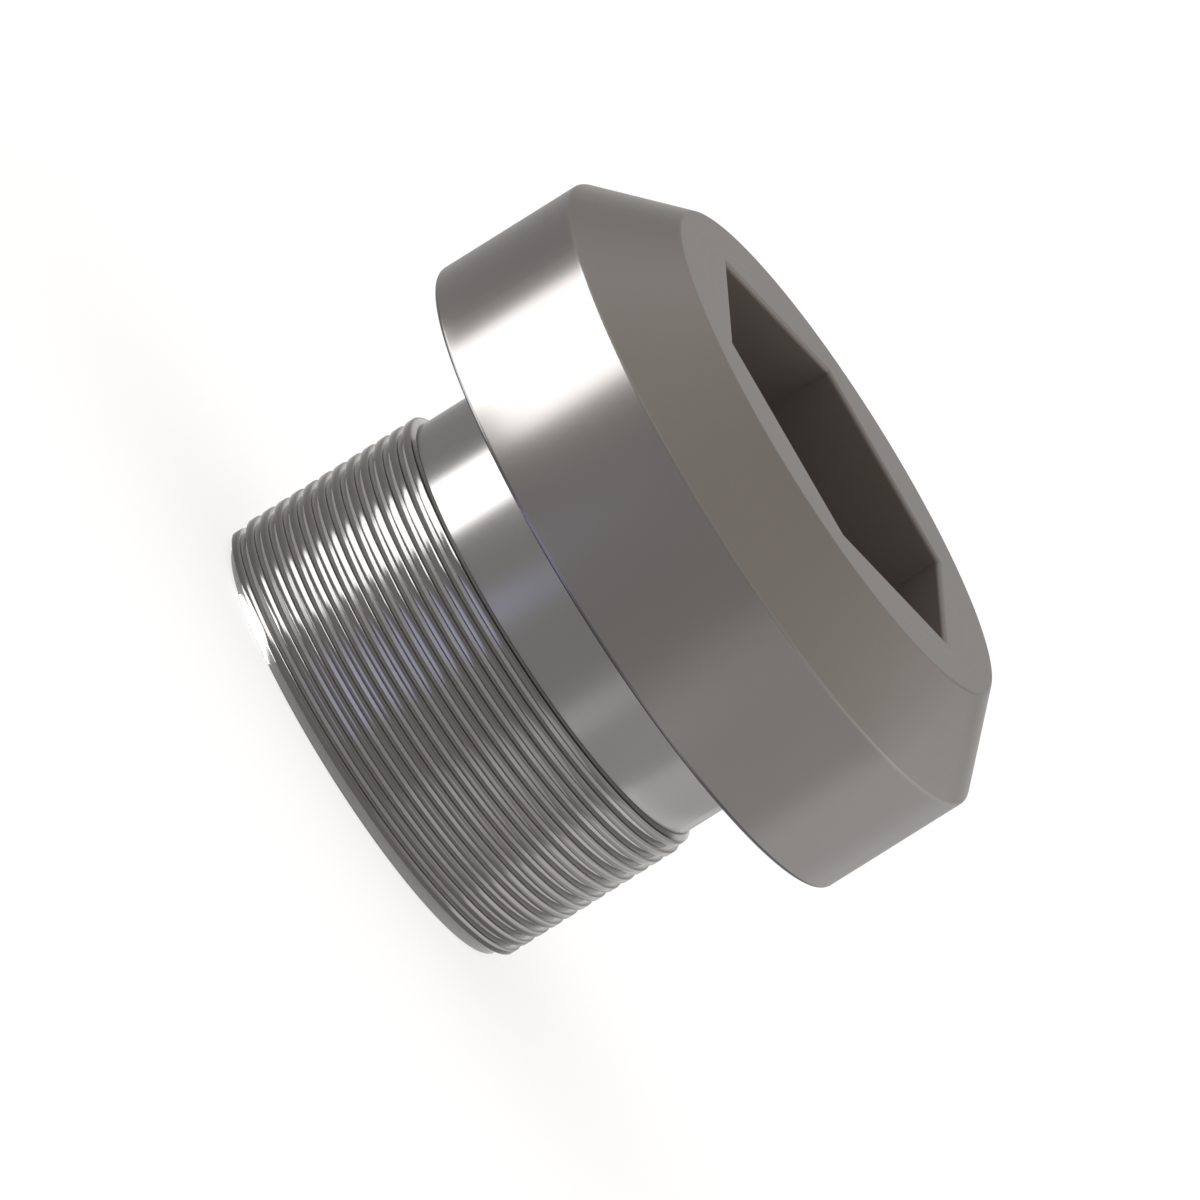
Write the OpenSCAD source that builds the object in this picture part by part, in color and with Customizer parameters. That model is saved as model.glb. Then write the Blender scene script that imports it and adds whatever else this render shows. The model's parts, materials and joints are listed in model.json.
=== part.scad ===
// Valve closure plug, turned from one bar: a bevelled round head with a hexagon
// socket, a plain neck below it and a fine right-hand thread on the shank.
// Millimetres. The origin is the centre of the thread end, and +Z runs up the
// axis to the head.

/* [Head] */
// Diameter of the head
head_d = 36; // [32:0.5:60]
// Height of the head's straight side
head_h = 8; // [5:0.5:20]
// Height of the 45 degree bevel, from the side up to the face
bevel = 4; // [2:0.25:6]
// Radius that breaks the sharp edges of the head
edge_r = 0.25; // [0.1:0.05:0.6]

/* [Hexagon socket] */
// Width across the flats
socket_af = 19; // [14:0.5:22]
// Depth of the flats below the face
socket_depth = 10; // [6:0.5:12]
// Radius round the mouth
mouth_r = 0.25; // [0.1:0.05:0.8]
// How much narrower than the flats the hole is that is drilled first
drill_margin = 0.5; // [0.2:0.1:4]
// Point angle of that drill
drill_angle = 118; // [100:1:150]

/* [Shank] */
// Length from the seat under the head down to the thread end
shank_len = 16; // [13:0.5:40]
// Diameter of the plain neck and of the plain ring at the thread end
neck_d = 24; // [22:0.25:25]
// Radius in the corner between neck and seat
neck_fillet = 0.3; // [0.1:0.05:1]
// Height of the full plain ring below the start of the thread
ring_h = 0.2; // [0.2:0.05:1.5]
// Chamfer on the edge of the thread end
end_chamfer = 0.1; // [0.05:0.01:0.18]

/* [Thread] */
// Outside diameter of the thread
thread_d = 25; // [24.5:0.05:28]
// Distance from one turn to the next
pitch = 0.845; // [0.6:0.005:2]
// Length over the thread, with its run-in and run-out
thread_len = 11.5; // [5:0.25:12]
// Angle between the two sides of the thread
thread_angle = 55; // [50:1:60]
// Arc over which the thread rises at one end and fades at the other
run_arc = 30; // [15:7.5:180]
// Direction, seen from above the head, in which the thread starts
start_angle = 170; // [0:5:355]

/* [Hidden] */
$fn = 96;

seat_z = shank_len;
side_z = seat_z + head_h;
face_z = side_z + bevel;
head_r = head_d / 2;
face_r = head_r - bevel;
neck_r = neck_d / 2;

// Depth and crest of a rounded V thread, as shares of its pitch.
thread_depth = 0.6134 * pitch;
crest_w = pitch / 4;
flank_w = thread_depth * tan(thread_angle / 2);
root_r = thread_d / 2 - thread_depth;

// The thread is built in equal steps round the axis.
steps_per_turn = 48;
thread_steps = floor((thread_len / pitch - 1) * steps_per_turn);
run_steps = run_arc / 360 * steps_per_turn;
step_rise = pitch / steps_per_turn;
thread_z = ring_h;
neck_z = thread_z + pitch + thread_steps * step_rise;

// One step's points up the thread: [height above its lower root, share of the depth].
thread_form = [
    [0, 0],
    [flank_w, 1],
    [flank_w + crest_w, 1],
    [2 * flank_w + crest_w, 0],
];

// The sliver between a sharp corner and its rounding. The two sides leave the
// corner at angles a and b, measured like OpenSCAD's rotate().
module corner_sliver(corner, a, b, r) {
    half = abs(b - a) / 2;
    mid = (a + b) / 2;
    centre = corner + r / sin(half) * [cos(mid), sin(mid)];
    reach = r / tan(half);
    difference() {
        polygon([corner, corner + reach * [cos(a), sin(a)], centre, corner + reach * [cos(b), sin(b)]]);
        translate(centre) circle(r);
    }
}

// Half section of the head and neck, from the top of the thread to the face.
module head_section() {
    difference() {
        polygon([
            [0, neck_z], [neck_r, neck_z], [neck_r, seat_z], [head_r, seat_z],
            [head_r, side_z], [face_r, face_z], [0, face_z],
        ]);
        corner_sliver([head_r, seat_z], 90, 180, edge_r);
        corner_sliver([head_r, side_z], 135, 270, edge_r);
        corner_sliver([face_r, face_z], 180, 315, edge_r);
    }
    corner_sliver([neck_r, seat_z], -90, 0, neck_fillet);
}

// Half section of the plain ring that carries the thread end.
module ring_section() {
    polygon([
        [0, 0], [neck_r - end_chamfer, 0], [neck_r, end_chamfer],
        [neck_r, thread_z], [0, thread_z],
    ]);
}

// Height of the thread after i steps, from 0 at its two ends to 1.
function rise(i) = max(0, min(1, i / run_steps, (thread_steps - i) / run_steps));

function turned_point(i, z, r) =
    let(a = start_angle + i * 360 / steps_per_turn) [r * cos(a), r * sin(a), z];

// Point k of the thread form after i steps.
function thread_point(i, k) = turned_point(
    i,
    thread_z + i * step_rise + thread_form[k][0],
    root_r + thread_form[k][1] * rise(i) * thread_depth);

// The threaded length of the shank as one closed solid. Each turn ends on the
// root line where the next begins, and flat rings close it above and below.
module thread() {
    form = len(thread_form);
    n = steps_per_turn;
    m = thread_steps;
    turns = [for (i = [0:m], k = [0:form - 1]) thread_point(i, k)];
    last_root = [for (i = [m - n + 1:m]) turned_point(i, thread_z + i * step_rise + pitch, root_r)];
    bottom = [for (i = [1:n - 1]) turned_point(i, thread_z, root_r)];
    top = [for (i = [m - n + 1:m - 1]) turned_point(i, neck_z, root_r)];

    first_last_root = len(turns);
    first_bottom = first_last_root + len(last_root);
    first_top = first_bottom + len(bottom);

    function at(i, k) = k < form ? form * i + k
        : i + n <= m ? form * (i + n)
        : first_last_root + i - (m - n + 1);
    function low(i) = i % n == 0 ? at(0, 0) : first_bottom + i % n - 1;
    function high(i) = i == m || i == m - n ? at(m, form) : first_top + i - (m - n + 1);

    sides = [for (i = [0:m - 1], k = [0:form - 1]) [at(i, k), at(i, k + 1), at(i + 1, k + 1), at(i + 1, k)]];
    below_first = [
        [low(0), at(1, 0), low(1)],
        for (i = [1:n - 2]) [low(i), at(i, 0), at(i + 1, 0), low(i + 1)],
        [low(n - 1), at(n - 1, 0), for (k = [form:-1:0]) at(0, k)],
    ];
    above_last = [
        [high(m - n + 1), at(m - n + 1, form), for (k = [0:form]) at(m, k)],
        for (i = [m - n + 1:m - 2]) [at(i, form), high(i), high(i + 1), at(i + 1, form)],
        [at(m - 1, form), high(m - 1), at(m, form)],
    ];
    end_faces = [
        [for (i = [0:n - 1]) low(i)],
        [for (i = [m:-1:m - n + 1]) high(i)],
    ];
    polyhedron(
        concat(turns, last_root, bottom, top),
        concat(sides, below_first, above_last, end_faces),
        convexity = 10);
}

// One pair of the hexagon's flats, with the mouth rounded along both.
module flats() {
    half = socket_af / 2;
    reach = socket_af;
    rotate([90, 0, 90]) linear_extrude(2 * reach, center = true) {
        difference() {
            translate([-half - mouth_r, face_z - socket_depth])
                square([2 * (half + mouth_r), socket_depth + mouth_r]);
            for (side = [-1, 1]) translate([side * (half + mouth_r), face_z - mouth_r]) {
                circle(mouth_r);
                translate([-mouth_r, -socket_depth]) square([2 * mouth_r, socket_depth]);
            }
        }
    }
}

// The hole is drilled to the depth of the flats, and its point goes on below them.
module socket() {
    drill_r = (socket_af - drill_margin) / 2;
    floor_z = face_z - socket_depth;
    intersection_for(turn = [0, 60, 120]) rotate(turn) flats();
    rotate_extrude() polygon([
        [0, floor_z - drill_r / tan(drill_angle / 2)], [drill_r, floor_z],
        [drill_r, face_z + mouth_r], [0, face_z + mouth_r],
    ]);
}

module plug_body() {
    color("silver") difference() {
        union() {
            rotate_extrude() head_section();
            rotate_extrude() ring_section();
            thread();
        }
        socket();
    }
}

plug_body();
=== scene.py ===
# %% [markdown]
# # A turned steel plug, made as one skin
# The plug closes a port in a valve body. It is turned from one steel bar: a
# bevelled round head with a hexagon socket, a plain neck and a fine thread. One
# piece of metal is one mesh here too. The thread is swept first, its upper rim is
# drawn on over the head and down into the socket, and the lower rim closes last.
# The main sizes come from the frame, so the mesh stands exactly in the solid.

# %% Load the frame and take the sizes from it
import json
import math

import bmesh
import bpy
import numpy as np
from mathutils import Matrix, Vector


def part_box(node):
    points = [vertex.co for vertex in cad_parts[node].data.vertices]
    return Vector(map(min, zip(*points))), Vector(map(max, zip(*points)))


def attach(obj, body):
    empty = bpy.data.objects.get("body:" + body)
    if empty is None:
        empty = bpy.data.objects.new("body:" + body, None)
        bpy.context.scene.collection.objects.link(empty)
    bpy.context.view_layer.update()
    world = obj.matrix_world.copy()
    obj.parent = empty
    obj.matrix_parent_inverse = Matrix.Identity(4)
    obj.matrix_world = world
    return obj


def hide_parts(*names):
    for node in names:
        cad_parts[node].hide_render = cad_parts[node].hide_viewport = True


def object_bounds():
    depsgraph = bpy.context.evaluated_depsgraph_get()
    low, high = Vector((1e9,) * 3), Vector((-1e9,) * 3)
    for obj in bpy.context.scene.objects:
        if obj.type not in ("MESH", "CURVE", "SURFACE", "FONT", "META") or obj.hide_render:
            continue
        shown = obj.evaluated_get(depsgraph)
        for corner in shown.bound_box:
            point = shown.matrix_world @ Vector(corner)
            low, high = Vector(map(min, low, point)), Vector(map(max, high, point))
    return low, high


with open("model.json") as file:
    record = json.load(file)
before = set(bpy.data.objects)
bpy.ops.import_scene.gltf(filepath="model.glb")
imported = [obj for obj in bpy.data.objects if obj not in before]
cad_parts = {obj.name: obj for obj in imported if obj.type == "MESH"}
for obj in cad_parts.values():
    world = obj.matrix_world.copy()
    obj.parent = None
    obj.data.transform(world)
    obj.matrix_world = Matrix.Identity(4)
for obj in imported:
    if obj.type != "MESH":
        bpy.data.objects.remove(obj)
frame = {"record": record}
cad_low, cad_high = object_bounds()

MM = 0.001
mounts = {mount["name"]: mount for mount in frame["record"]["mounts"]}
node_low, node_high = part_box("plug_body")

head_r = (node_high.x - node_low.x) / 2
face_z = node_high.z
seat_z = mounts["seat"]["pos_m"][2]
thread_r = mounts["thread"]["dims"]["r_mm"] * MM
thread_len = mounts["thread"]["dims"]["length_mm"] * MM
socket_depth = mounts["key_socket"]["dims"]["length_mm"] * MM

print(f"head {2 * head_r / MM:.1f} mm across, {face_z / MM:.1f} mm from end to face")

# %% [markdown]
# ## The camera
# The picture is drawn without perspective: the two edges of the head run exactly
# parallel. An orthographic camera does the same, and its scale is the width that
# the picture covers. The eye stands ten degrees above the head's plane, and the
# camera is rolled so that the plug's axis climbs to the upper right.

# %% Camera
view_azimuth = math.radians(11)
view_elevation = math.radians(10.2)
axis_climb = math.radians(31.99)
picture_width = 59.3 * MM
camera_distance = 0.4
clip_near, clip_far = 0.01, 10

to_eye = Vector((math.sin(view_azimuth), -math.cos(view_azimuth), 0))
across = Vector((math.cos(view_azimuth), math.sin(view_azimuth), 0))
up = Vector((0, 0, 1))
back = math.cos(view_elevation) * to_eye + math.sin(view_elevation) * up
axis_seen = math.cos(view_elevation) * up - math.sin(view_elevation) * to_eye
camera_x = math.cos(axis_climb) * axis_seen + math.sin(axis_climb) * across
camera_y = math.sin(axis_climb) * axis_seen - math.cos(axis_climb) * across

middle = (cad_low + cad_high) / 2
bpy.ops.object.camera_add(location=middle + camera_distance * back)
camera = bpy.context.object
camera.data.type = "ORTHO"
camera.data.ortho_scale = picture_width
camera.data.clip_start = clip_near
camera.data.clip_end = clip_far
camera.rotation_euler = Matrix((camera_x, camera_y, back)).transposed().to_euler()
bpy.context.scene.camera = camera
print(f"camera covers {picture_width / MM:.1f} mm")

# %% [markdown]
# ## Helpers for colours and nodes
# Colours are written as sRGB hex values, and shaders calculate with linear light,
# so one function converts. Another adds a node with its settings and its links,
# so that a material reads from top to bottom like a list of steps.

# %% Colour and node helpers
def linear(hex_colour):
    """An sRGB hex colour as the linear RGBA that a shader takes."""
    channels = [int(hex_colour[i:i + 2], 16) / 255 for i in (1, 3, 5)]
    return [c / 12.92 if c <= 0.04045 else ((c + 0.055) / 1.055) ** 2.4 for c in channels] + [1]


def add_node(tree, kind, sockets=None, **settings):
    """Adds one shader node. Each socket takes a value, or the output that feeds it."""
    node = tree.nodes.new(kind)
    for name, value in settings.items():
        setattr(node, name, value)
    for socket, value in (sockets or {}).items():
        if isinstance(value, bpy.types.NodeSocket):
            tree.links.new(value, node.inputs[socket])
        else:
            node.inputs[socket].default_value = value
    return node


def new_material(name):
    """An empty node material, and its node tree."""
    material = bpy.data.materials.new(name)
    material.use_nodes = True
    material.node_tree.nodes.clear()
    return material, material.node_tree


print(f"mid grey #808080 is {linear('#808080')[0]:.3f} in linear light")

# %% [markdown]
# ## The board under the plug
# A small part like this is photographed on a sheet of matt white board. The sheet
# is lit until it is as white as the page, and only a trace of the shadow stays.
# Here most of the board shines by itself, for the camera and for the steel that
# mirrors it. The rest is ordinary matt paint, and that part carries the shadow.

# %% Floor
scene = bpy.context.scene
scene.view_settings.view_transform = "Standard"

floor_colour = "#f4f4f4"
floor_size = 6
white_share = 0.75

bpy.ops.mesh.primitive_plane_add(size=floor_size)
floor = bpy.context.object
floor.name = "floor"
floor_paint, tree = new_material("matt_white_board")
matt = add_node(tree, "ShaderNodeBsdfDiffuse", {"Color": linear(floor_colour)})
white = add_node(tree, "ShaderNodeEmission", {"Color": linear("#ffffff"), "Strength": 1})
light_path = add_node(tree, "ShaderNodeLightPath")
seen = light_path.outputs["Is Camera Ray"]
for ray in ("Is Glossy Ray", "Is Transmission Ray"):
    either = {0: seen, 1: light_path.outputs[ray]}
    seen = add_node(tree, "ShaderNodeMath", either, operation="MAXIMUM").outputs[0]
shining = add_node(tree, "ShaderNodeMath", {0: seen, 1: white_share}, operation="MULTIPLY")
board = add_node(
    tree, "ShaderNodeMixShader", {0: shining.outputs[0], 1: matt.outputs[0], 2: white.outputs[0]})
add_node(tree, "ShaderNodeOutputMaterial", {"Surface": board.outputs[0]})
floor.data.materials.append(floor_paint)
print(f"board is {white_share:.0%} page white")

# %% [markdown]
# ## The room
# Bare metal has hardly any look of its own: it shows what stands round it. The
# bevel and the face of the head mirror the room, so the room decides their grey.
# It is brightest halfway up, a little dimmer overhead, and dimmer again behind
# the camera, where a photographer keeps the lamps away from the lens.

# %% Sky
# Each band is the sine of the height above the horizon, and the colour there.
sky_bands = [(0.0, "#cfceca"), (0.17, "#d2d0cc"), (0.6, "#fbf5f0"), (0.85, "#e6dfd9"), (1.0, "#d9d1c9")]
sky_strength = 1.8
front_shade = 0.35
shade_from, shade_to = 0.2, 0.8

world = bpy.data.worlds.new("soft_studio")
world.use_nodes = True
sky_tree = world.node_tree
sky_tree.nodes.clear()
direction = add_node(sky_tree, "ShaderNodeTexCoord").outputs["Generated"]
climb = add_node(sky_tree, "ShaderNodeSeparateXYZ", {0: direction}).outputs["Z"]
bands = add_node(sky_tree, "ShaderNodeValToRGB", {0: climb})
while len(bands.color_ramp.elements) < len(sky_bands):
    bands.color_ramp.elements.new(0.5)
for element, (position, hex_colour) in zip(bands.color_ramp.elements, sky_bands):
    element.position = position
    element.color = linear(hex_colour)
towards = add_node(sky_tree, "ShaderNodeVectorMath", {0: direction, 1: to_eye}, operation="DOT_PRODUCT")
strength = add_node(
    sky_tree, "ShaderNodeMapRange",
    {0: towards.outputs["Value"], 1: shade_from, 2: shade_to,
     3: sky_strength, 4: sky_strength * (1 - front_shade)},
    interpolation_type="SMOOTHSTEP")
sky = add_node(
    sky_tree, "ShaderNodeBackground", {"Color": bands.outputs[0], "Strength": strength.outputs[0]})
add_node(sky_tree, "ShaderNodeOutputWorld", {"Surface": sky.outputs[0]})
scene.world = world
print(f"room of {len(sky_bands)} bands of light")

# %% [markdown]
# ## The lamps
# The upright sides mirror what stands beside the plug, and beyond two or three
# centimetres they mirror only the board, because their reflections run downwards.
# So the white stripe along head, neck and thread comes from narrow lamps that
# stand close on the left. Wide dim lamps lift the right side and the bevel, and
# lamps that lie on the board lay soft glints on the shank, two of them bluish.

# %% Lamps
def panel_lamp(name, turn, distance, span, height, brightness, hex_colour="#ffffff"):
    """A flat lamp that only shiny surfaces see.

    It is placed in the direction `turn`, in degrees to the right of the camera's.
    The other places are in mm, and brightness 1 is white paper. A lamp with one
    distance stands up and faces the axis. A lamp with a near and a far distance
    lies flat and faces up."""
    turn = math.radians(turn)
    outward = math.cos(turn) * to_eye + math.sin(turn) * across
    along = math.cos(turn) * across - math.sin(turn) * to_eye
    if isinstance(distance, tuple):
        rise, reach = outward, distance
        place = height * up
    else:
        rise, reach = up, height
        place = distance * outward
    place += sum(span) / 2 * along + sum(reach) / 2 * rise
    bpy.ops.object.light_add(type="AREA", location=MM * place)
    lamp = bpy.context.object
    lamp.name = name
    lamp.data.shape = "RECTANGLE"
    lamp.data.size = (span[1] - span[0]) * MM
    lamp.data.size_y = (reach[1] - reach[0]) * MM
    lamp.data.energy = brightness * math.pi * lamp.data.size * lamp.data.size_y
    lamp.data.color = linear(hex_colour)[:3]
    lamp.rotation_euler = Matrix((along, rise, along.cross(rise))).transposed().to_euler()
    lamp.visible_camera = False
    lamp.visible_diffuse = False


# The white stripe, on the head, the shank and the small ring at the thread end.
panel_lamp("stripe_for_head", -90, 22, (8.7, 23.3), (14.5, 26), 9)
panel_lamp("stripe_for_shank", -90, 22, (5.2, 16.6), (0, 14.5), 8.5)
panel_lamp("stripe_for_end", -90, (6, 10.5), (7, 10.6), 0.02, 11)

# Dim fills that keep the other side and the bevel from going dark.
panel_lamp("shank_fill", 90, 21, (-8.5, 30), (0, 9.5), 1)
panel_lamp("side_fill", 90, 50, (-100, 60), (0, 45), 0.4)
panel_lamp("rear_fill", 90, 47, (-6, 80), (0, 56), 0.66)
panel_lamp("left_fill", -128, 60, (-16, 16), (0, 30), 0.16)

# Glints from lamps that lie on the board.
panel_lamp("cool_glint_near", -20, (19, 34), (-6, 6), 0.5, 2.4, "#c8ccff")
panel_lamp("cool_glint_far", -20, (34, 78), (-8, 8), 0.5, 1.3, "#c8ccff")
panel_lamp("soft_glint", 40, (20, 78), (-8, 8), 0.5, 1.1)

# %% [markdown]
# ## The thread
# A thread is one groove cut round and round the bar. Its section over one pitch is
# a short line: up a flank, over a shoulder, along the crest, down the other side
# and along the root. The flat crest mirrors like a polished band, and the eased
# shoulders catch a thin line of light on each turn.

# %% Section of one pitch
neck_r = 12 * MM
pitch = 0.845 * MM
ring_h = 0.2 * MM
turns_below = 2

thread_depth = thread_r - neck_r
crest_w = 0.32 * MM
shoulder_w = 0.05 * MM
shoulder_drop = 0.04 * MM
root_w = 0.18 * MM
flank_w = (pitch - crest_w - 2 * shoulder_w - root_w) / 2


def start_mesh(name, place):
    """A new mesh object with a single point, open in edit mode."""
    bpy.ops.object.select_all(action="DESELECT")
    bpy.ops.mesh.primitive_plane_add(size=MM)
    piece = bpy.context.object
    piece.name = piece.data.name = name
    bpy.ops.object.mode_set(mode="EDIT")
    bpy.ops.mesh.select_all(action="SELECT")
    bpy.ops.mesh.merge(type="CENTER")
    bpy.ops.transform.translate(value=place)
    return piece


def draw_on(*step):
    """Extrudes the selected point or ring by one step."""
    bpy.ops.mesh.extrude_region_move(TRANSFORM_OT_translate={"value": step})


plug = start_mesh("turned_plug", (neck_r, 0, ring_h - turns_below * pitch))
draw_on(thread_depth - shoulder_drop, 0, flank_w)
draw_on(shoulder_drop, 0, shoulder_w)
draw_on(0, 0, crest_w)
draw_on(-shoulder_drop, 0, shoulder_w)
draw_on(shoulder_drop - thread_depth, 0, flank_w)
draw_on(0, 0, root_w)
bpy.ops.object.mode_set(mode="OBJECT")
print(f"section of {len(plug.data.vertices)} points, {pitch / MM:.3f} mm high")

# %% [markdown]
# ## Sweep the section up the shank
# On the lathe the tool climbs by one pitch in each turn of the bar, and the Screw
# modifier makes the same move with the section. Each turn ends where the next
# begins, so merging the doubled points joins them to one skin. Two spare turns at
# either end leave something to cut off.

# %% Sweep
columns = 180
start_angle = math.radians(170)
turns_swept = math.ceil(thread_len / pitch) + 2 * turns_below
merge_gap = 0.0005 * MM

plug.data.transform(Matrix.Rotation(start_angle, 4, "Z"))
screw = plug.modifiers.new("thread", "SCREW")
screw.axis = "Z"
screw.angle = turns_swept * 2 * math.pi
screw.screw_offset = turns_swept * pitch
screw.steps = screw.render_steps = turns_swept * columns
screw.iterations = 1
screw.use_smooth_shade = True
bpy.ops.object.modifier_apply(modifier=screw.name)

bpy.ops.object.mode_set(mode="EDIT")
bpy.ops.mesh.select_all(action="SELECT")
bpy.ops.mesh.remove_doubles(threshold=merge_gap)
bpy.ops.object.mode_set(mode="OBJECT")
print(f"swept {turns_swept} turns, {len(plug.data.polygons)} faces")

# %% [markdown]
# ## Where the thread begins and ends
# A cut thread doesn't stop at a wall: the tool eases in and out, so the ridge
# rises and fades over part of a turn. Each point knows how far along the helix it
# lies, and from that comes the share of the full height that it keeps.

# %% Fade the ridge at both ends
run_arc = math.radians(30)
thread_arc = (thread_len / pitch - 1) * 2 * math.pi

points = np.empty(3 * len(plug.data.vertices))
plug.data.vertices.foreach_get("co", points)
points = points.reshape(-1, 3)
radius = np.hypot(points[:, 0], points[:, 1])
turned = (np.arctan2(points[:, 1], points[:, 0]) - start_angle) % (2 * math.pi)
crest_height = ring_h + flank_w + shoulder_w + crest_w / 2 + turned / (2 * math.pi) * pitch
turn_number = np.round((points[:, 2] - crest_height) / pitch)
along = turn_number * 2 * math.pi + turned
share = np.clip(np.minimum(along, thread_arc - along) / run_arc, 0, 1)
new_radius = neck_r + (radius - neck_r) * share
points[:, :2] *= (new_radius / radius)[:, None]
plug.data.vertices.foreach_set("co", points.ravel())
plug.data.update()
print(f"ridge runs over {thread_arc / (2 * math.pi):.1f} turns")

# %% [markdown]
# ## Cut the ends square
# The sweep ends in a slant, like a spring. One flat cut near the thread end and
# one at the foot of the neck leave two round rims, and both are drawn on later.

# %% Cut the ends
end_chamfer = 0.1 * MM
thread_top = 11.8 * MM

cut_gap = merge_gap / 10

bpy.ops.object.mode_set(mode="EDIT")
for z, outward in ((end_chamfer, -1), (thread_top, 1)):
    bpy.ops.mesh.select_all(action="SELECT")
    bpy.ops.mesh.bisect(
        plane_co=(0, 0, z), plane_no=(0, 0, outward), clear_outer=True, threshold=cut_gap)
print(f"shank cut at {end_chamfer / MM:.1f} and {thread_top / MM:.1f} mm")

# %% [markdown]
# ## Neck and head
# The open rim at the top of the thread is drawn on like clay on a wheel: extrude
# the ring, then scale it about the axis. Short steps along a quarter or an eighth
# of a circle round each edge, as a turner breaks it with a file.

# %% Draw the rim up over the head
head_h = 8 * MM
bevel = 4 * MM
edge_r = 0.25 * MM
neck_fillet = 0.3 * MM
arc_steps = 4

side_z = seat_z + head_h
face_r = head_r - bevel
rim = [neck_r, thread_top]


def pick_edges(test):
    """Selects the plug's edges that pass the test, and nothing else."""
    bpy.ops.mesh.select_mode(type="EDGE")
    bpy.ops.mesh.select_all(action="DESELECT")
    mesh = bmesh.from_edit_mesh(plug.data)
    for edge in mesh.edges:
        edge.select = test(edge)
    mesh.select_flush_mode()
    bmesh.update_edit_mesh(plug.data)


def pick_rim_at(z):
    """Selects the open rim that lies at height z."""
    pick_edges(lambda edge: edge.is_boundary and all(abs(v.co.z - z) < merge_gap for v in edge.verts))


def rim_to(r, z):
    """Extrudes the open rim and scales it to radius r at height z."""
    draw_on(0, 0, z - rim[1])
    scale = r / rim[0]
    bpy.ops.transform.resize(value=(scale, scale, 1), center_override=(0, 0, z))
    rim[:] = [r, z]


def rim_round(centre_r, centre_z, r, start, end):
    """Takes the rim round an arc, between two angles in degrees."""
    for i in range(arc_steps + 1):
        a = math.radians(start + (end - start) * i / arc_steps)
        rim_to(centre_r + r * math.cos(a), centre_z + r * math.sin(a))


# How far before a 45 degree corner its rounding begins.
eighth = edge_r * math.tan(math.radians(45 / 2))

pick_rim_at(thread_top)
rim_round(neck_r + neck_fillet, seat_z - neck_fillet, neck_fillet, 180, 90)
rim_round(head_r - edge_r, seat_z + edge_r, edge_r, -90, 0)
rim_round(head_r - edge_r, side_z - eighth, edge_r, 0, 45)
rim_round(face_r - eighth, face_z - edge_r, edge_r, 45, 90)
print(f"rim has closed in to {rim[0] / MM:.2f} mm at {rim[1] / MM:.2f} mm")

# %% [markdown]
# ## The hexagon socket
# A broach pushes six flats into a drilled hole. The round rim turns into a hexagon
# when every point slides in along its own radius to the nearest flat. From there
# it goes down round the eased mouth to the floor, and the drill's cone closes it.

# %% Sink the socket
half_flats = 9.5 * MM
mouth_r = 0.25 * MM
drill_r = 9.25 * MM
half_drill_angle = math.radians(118 / 2)
one_side = math.radians(60)
floor_z = face_z - socket_depth


def reshape_rim(radius_at):
    """Moves each selected point to the radius that its direction asks for."""
    mesh = bmesh.from_edit_mesh(plug.data)
    for vert in (v for v in mesh.verts if v.select):
        vert.co.xy *= radius_at(math.atan2(vert.co.y, vert.co.x)) / vert.co.xy.length
    bmesh.update_edit_mesh(plug.data)


def rim_to_hexagon(apothem, z):
    """Extrudes the rim to a hexagon with corners on the X axis."""
    draw_on(0, 0, z - rim[1])
    reshape_rim(lambda angle: apothem / math.cos(angle % one_side - one_side / 2))
    rim[1] = z


for i in range(arc_steps + 1):
    a = math.radians(90 * i / arc_steps)
    rim_to_hexagon(half_flats + mouth_r * (1 - math.sin(a)), face_z - mouth_r * (1 - math.cos(a)))
rim_to_hexagon(half_flats, floor_z)

# The hexagon turns round again where the drill's cone begins.
rim_to_hexagon(drill_r, floor_z)
reshape_rim(lambda angle: drill_r)
rim[:] = [drill_r, floor_z]
rim_to(0, floor_z - drill_r / math.tan(half_drill_angle))
bpy.ops.mesh.merge(type="CENTER")
print(f"socket ends in a point at {rim[1] / MM:.2f} mm")

# %% [markdown]
# ## Close the thread end
# The turner breaks the last edge with a tiny chamfer, so that the thread starts
# without a burr. The lower rim steps in along that chamfer, and one flat face
# closes it. After that the skin has no opening left.

# %% Close the end
pick_rim_at(end_chamfer)
rim[:] = [neck_r, end_chamfer]
rim_to(neck_r - end_chamfer, 0)
bpy.ops.mesh.edge_face_add()
bpy.ops.mesh.select_all(action="SELECT")
bpy.ops.mesh.remove_doubles(threshold=merge_gap)
bpy.ops.mesh.normals_make_consistent(inside=False)
bpy.ops.object.mode_set(mode="OBJECT")

edge_uses = np.empty(len(plug.data.loops), dtype=int)
plug.data.loops.foreach_get("edge_index", edge_uses)
open_edges = np.count_nonzero(np.bincount(edge_uses) != 2)
print(f"plug of {len(plug.data.polygons)} faces, {open_edges} open edges")

# %% [markdown]
# ## Round surfaces and crisp edges
# Shading by angle makes the turned surfaces run smoothly and leaves the real
# corners crisp. The ridges of the thread are too fine for hard lines, so their
# edges are softened from half height up. Weighted normals keep the flats flat.

# %% Smooth the shading
sharp_angle = math.radians(25)


def is_on_ridge(edge):
    """True for an edge that lies on the upper half of the thread's ridge."""
    return all(v.co.z < thread_top and v.co.xy.length > neck_r + thread_depth / 2 for v in edge.verts)


bpy.ops.object.shade_smooth_by_angle(angle=sharp_angle)
bpy.ops.object.mode_set(mode="EDIT")
pick_edges(is_on_ridge)
bpy.ops.mesh.mark_sharp(clear=True)
bpy.ops.object.mode_set(mode="OBJECT")
even = plug.modifiers.new("even", "WEIGHTED_NORMAL")
even.keep_sharp = True
bpy.ops.object.modifier_apply(modifier=even.name)
print(f"{sum(edge.use_edge_sharp for edge in plug.data.edges)} sharp edges")

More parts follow.
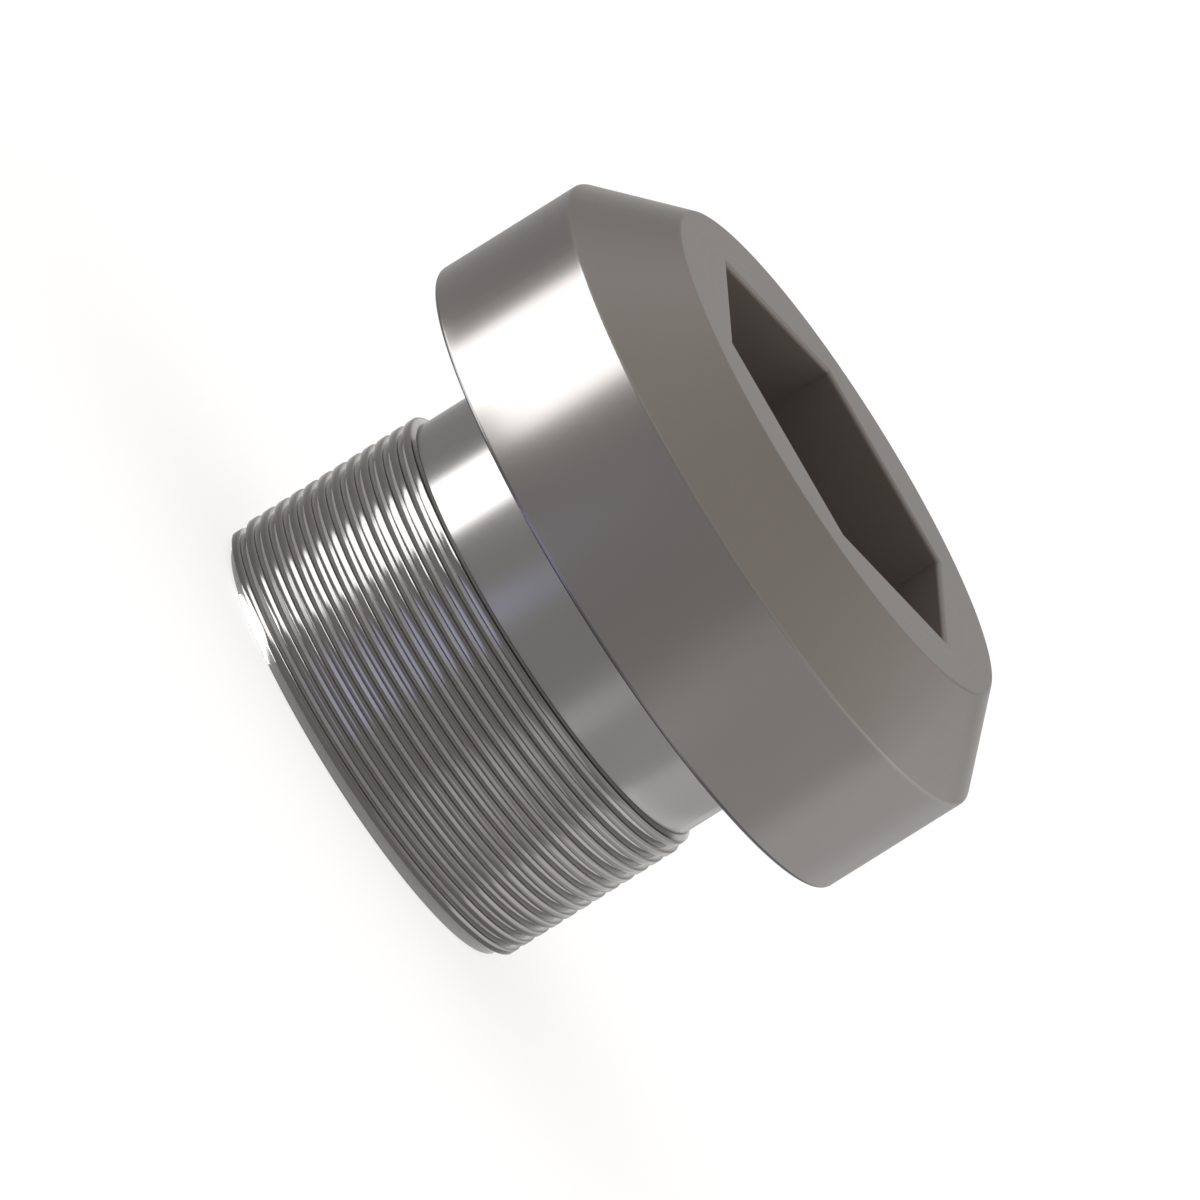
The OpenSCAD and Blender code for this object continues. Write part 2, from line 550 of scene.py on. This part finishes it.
# %% [markdown]
# ## Where each finish lies
# One bar carries several finishes: a fine-turned head, a smoother shank, a thread
# with polished ridges and dull grooves, and a socket that a broach leaves rough.
# Distance from the axis and height tell them apart, so every zone of the steel is
# a mask made from those two numbers, and it stays true to the millimetre.

# %% Zones of the surface
socket_reach = 11.5 * MM
socket_low = MM
socket_high = face_z - 0.1 * MM
ridge_foot = neck_r + 0.05 * MM
groove_top, groove_full = thread_r - 0.03 * MM, thread_r - 0.24 * MM
groove_end, groove_start = thread_len - 0.4 * MM, thread_len - MM
bevel_edge_width = (0.16 * MM, 0.05 * MM)
seat_edge_width = (0.24 * MM, 0.17 * MM)

steel, tree = new_material("turned_stainless_steel")
place = add_node(tree, "ShaderNodeTexCoord").outputs["Object"]
height = add_node(tree, "ShaderNodeSeparateXYZ", {0: place}).outputs["Z"]
level = add_node(tree, "ShaderNodeVectorMath", {0: place, 1: (1, 1, 0)}, operation="MULTIPLY")
radius = add_node(tree, "ShaderNodeVectorMath", {0: level.outputs[0]}, operation="LENGTH").outputs["Value"]


def mask(first, second, operation):
    """Compares two values, or joins two masks."""
    return add_node(tree, "ShaderNodeMath", {0: first, 1: second}, operation=operation).outputs[0]


def fade(value, start, end, at_start=0, at_end=1):
    """Runs softly from one number to another while the value goes from start to end."""
    return add_node(
        tree, "ShaderNodeMapRange", {0: value, 1: start, 2: end, 3: at_start, 4: at_end},
        interpolation_type="SMOOTHSTEP").outputs[0]


# The socket is what lies near the axis, below the face and above the thread end.
inside = mask(radius, socket_reach, "LESS_THAN")
inside = mask(inside, mask(height, socket_low, "GREATER_THAN"), "MULTIPLY")
inside = mask(inside, mask(height, socket_high, "LESS_THAN"), "MULTIPLY")

on_shank = mask(height, seat_z, "LESS_THAN")
on_thread = mask(height, thread_top, "LESS_THAN")
on_ridge = mask(on_thread, mask(radius, ridge_foot, "GREATER_THAN"), "MULTIPLY")

# The grooves fade out below the last ridge, so the plain neck stays one surface.
below_last = fade(height, groove_end, groove_start)
in_groove = mask(mask(below_last, on_ridge, "MAXIMUM"), fade(radius, groove_top, groove_full), "MULTIPLY")

# The head's two widest edges, by the distance from their corner lines. The bevel edge gets a painted
# highlight there, and the seat edge a painted shade.
turning = add_node(tree, "ShaderNodeCombineXYZ", {"X": radius, "Z": height}).outputs[0]


def near_line(r, z, start, end):
    """A mask round the line at radius r and height z. It rises from start to end."""
    line = {0: turning, 1: (r, 0, z)}
    distance = add_node(tree, "ShaderNodeVectorMath", line, operation="DISTANCE").outputs["Value"]
    return fade(distance, start, end)


bevel_highlight_zone = near_line(head_r, side_z, *bevel_edge_width)
seat_shade_zone = near_line(head_r, seat_z, *seat_edge_width)
print(f"{len(tree.nodes)} nodes for the zones")

# %% [markdown]
# ## The colour of the steel
# Stainless steel is a mid-dark grey metal with a trace of warmth. Hardly anyone
# sees its colour change, yet one flat value looks like plastic. So the grey
# drifts a little in patches of nine millimetres. The shank is paler and more
# neutral. The grooves are painted pale as a painted fill light, which lifts the
# shade between the ridges, and the socket walls are painted a darker brownish
# grey as painted shade. The edge at the bevel gets a thin painted highlight, and
# the one at the seat a painted shade that draws a thin dark outline.

# %% Colour
steel_light, steel_dark = linear("#676563"), linear("#636160")
shank_steel = linear("#6c6b6a")
ridge_steel = linear("#5f5e5d")
# Painted fill light: the grooves are painted pale, which lifts the shade between the ridges.
groove_painted_light = linear("#929292")
# Painted highlight: a thin brighter line along the bevel edge.
bevel_painted_highlight = linear("#6a6866")
# Painted shade: a thin dark line along the seat edge.
seat_painted_shade = linear("#4c4b4c")
# Painted shade: the socket walls are painted a darker, browner grey than the head.
socket_painted_shade = linear("#59534e")
blotch_size = 9 * MM


def blend(factor, first, second):
    """The first colour where the factor is 0, the second where it is 1."""
    return add_node(
        tree, "ShaderNodeMix", {"Factor": factor, 6: first, 7: second}, data_type="RGBA").outputs[2]


# Soft patches, which give the eye the slight unevenness of real bar stock.
patches = {"Vector": place, "Scale": 1 / blotch_size, "Detail": 3}
blotches = add_node(tree, "ShaderNodeTexNoise", patches).outputs[0]

tone = blend(blotches, steel_light, steel_dark)
tone = blend(on_shank, tone, shank_steel)
tone = blend(on_ridge, tone, ridge_steel)
# Painted fill light in the grooves.
tone = blend(in_groove, tone, groove_painted_light)
# Painted highlight along the bevel edge.
tone = blend(bevel_highlight_zone, tone, bevel_painted_highlight)
# Painted shade along the seat edge.
tone = blend(seat_shade_zone, tone, seat_painted_shade)
# Painted shade on the socket walls.
colour = blend(inside, tone, socket_painted_shade)
print(f"grey patches of {blotch_size / MM:.0f} mm")

# %% [markdown]
# ## The shine of the steel
# Roughness decides how sharply a surface mirrors the room. The turning tool
# leaves rings round the axis, and here they show only as a faint change of shine.
# Ridges are the smoothest, because they rub against the mating thread. Grooves
# and socket are only partly metallic, so they scatter light partly like matt
# paint, and their painted light and painted shade show through.

# %% Shine
ring_spacing = 0.5 * MM
ring_contrast = (0.3, 0.7)
head_roughness = (0.274, 0.286)
shank_roughness = 0.22
ridge_roughness = 0.17
socket_roughness = 0.5
groove_metal = 0.25
socket_metal = 0.4
edge_tint = linear("#cbcbcb")


def blend_number(factor, first, second):
    """The first number where the factor is 0, the second where it is 1."""
    return add_node(
        tree, "ShaderNodeMix", {"Factor": factor, 2: first, 3: second}, data_type="FLOAT").outputs[0]


# Turning rings, which break the mirror image a little all round the head.
ring_pattern = {"Vector": turning, "Scale": 1 / ring_spacing, "Detail": 1}
rings = add_node(tree, "ShaderNodeTexNoise", ring_pattern).outputs[0]

roughness = fade(rings, *ring_contrast, *head_roughness)
roughness = blend_number(on_shank, roughness, shank_roughness)
roughness = blend_number(on_ridge, roughness, ridge_roughness)
roughness = blend_number(inside, roughness, socket_roughness)
metallic = blend_number(in_groove, 1, groove_metal)
metallic = blend_number(inside, metallic, socket_metal)

# The edge tint sets how bright the steel gets where it is seen at a flat angle.
metal = add_node(
    tree, "ShaderNodeBsdfPrincipled",
    {"Base Color": colour, "Metallic": metallic, "Roughness": roughness, "Specular Tint": edge_tint})
add_node(tree, "ShaderNodeOutputMaterial", {"Surface": metal.outputs[0]})
plug.data.materials.clear()
plug.data.materials.append(steel)
print(f"steel of {len(tree.nodes)} nodes")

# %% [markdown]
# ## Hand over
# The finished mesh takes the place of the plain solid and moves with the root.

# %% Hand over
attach(plug, "root")
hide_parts("plug_body")
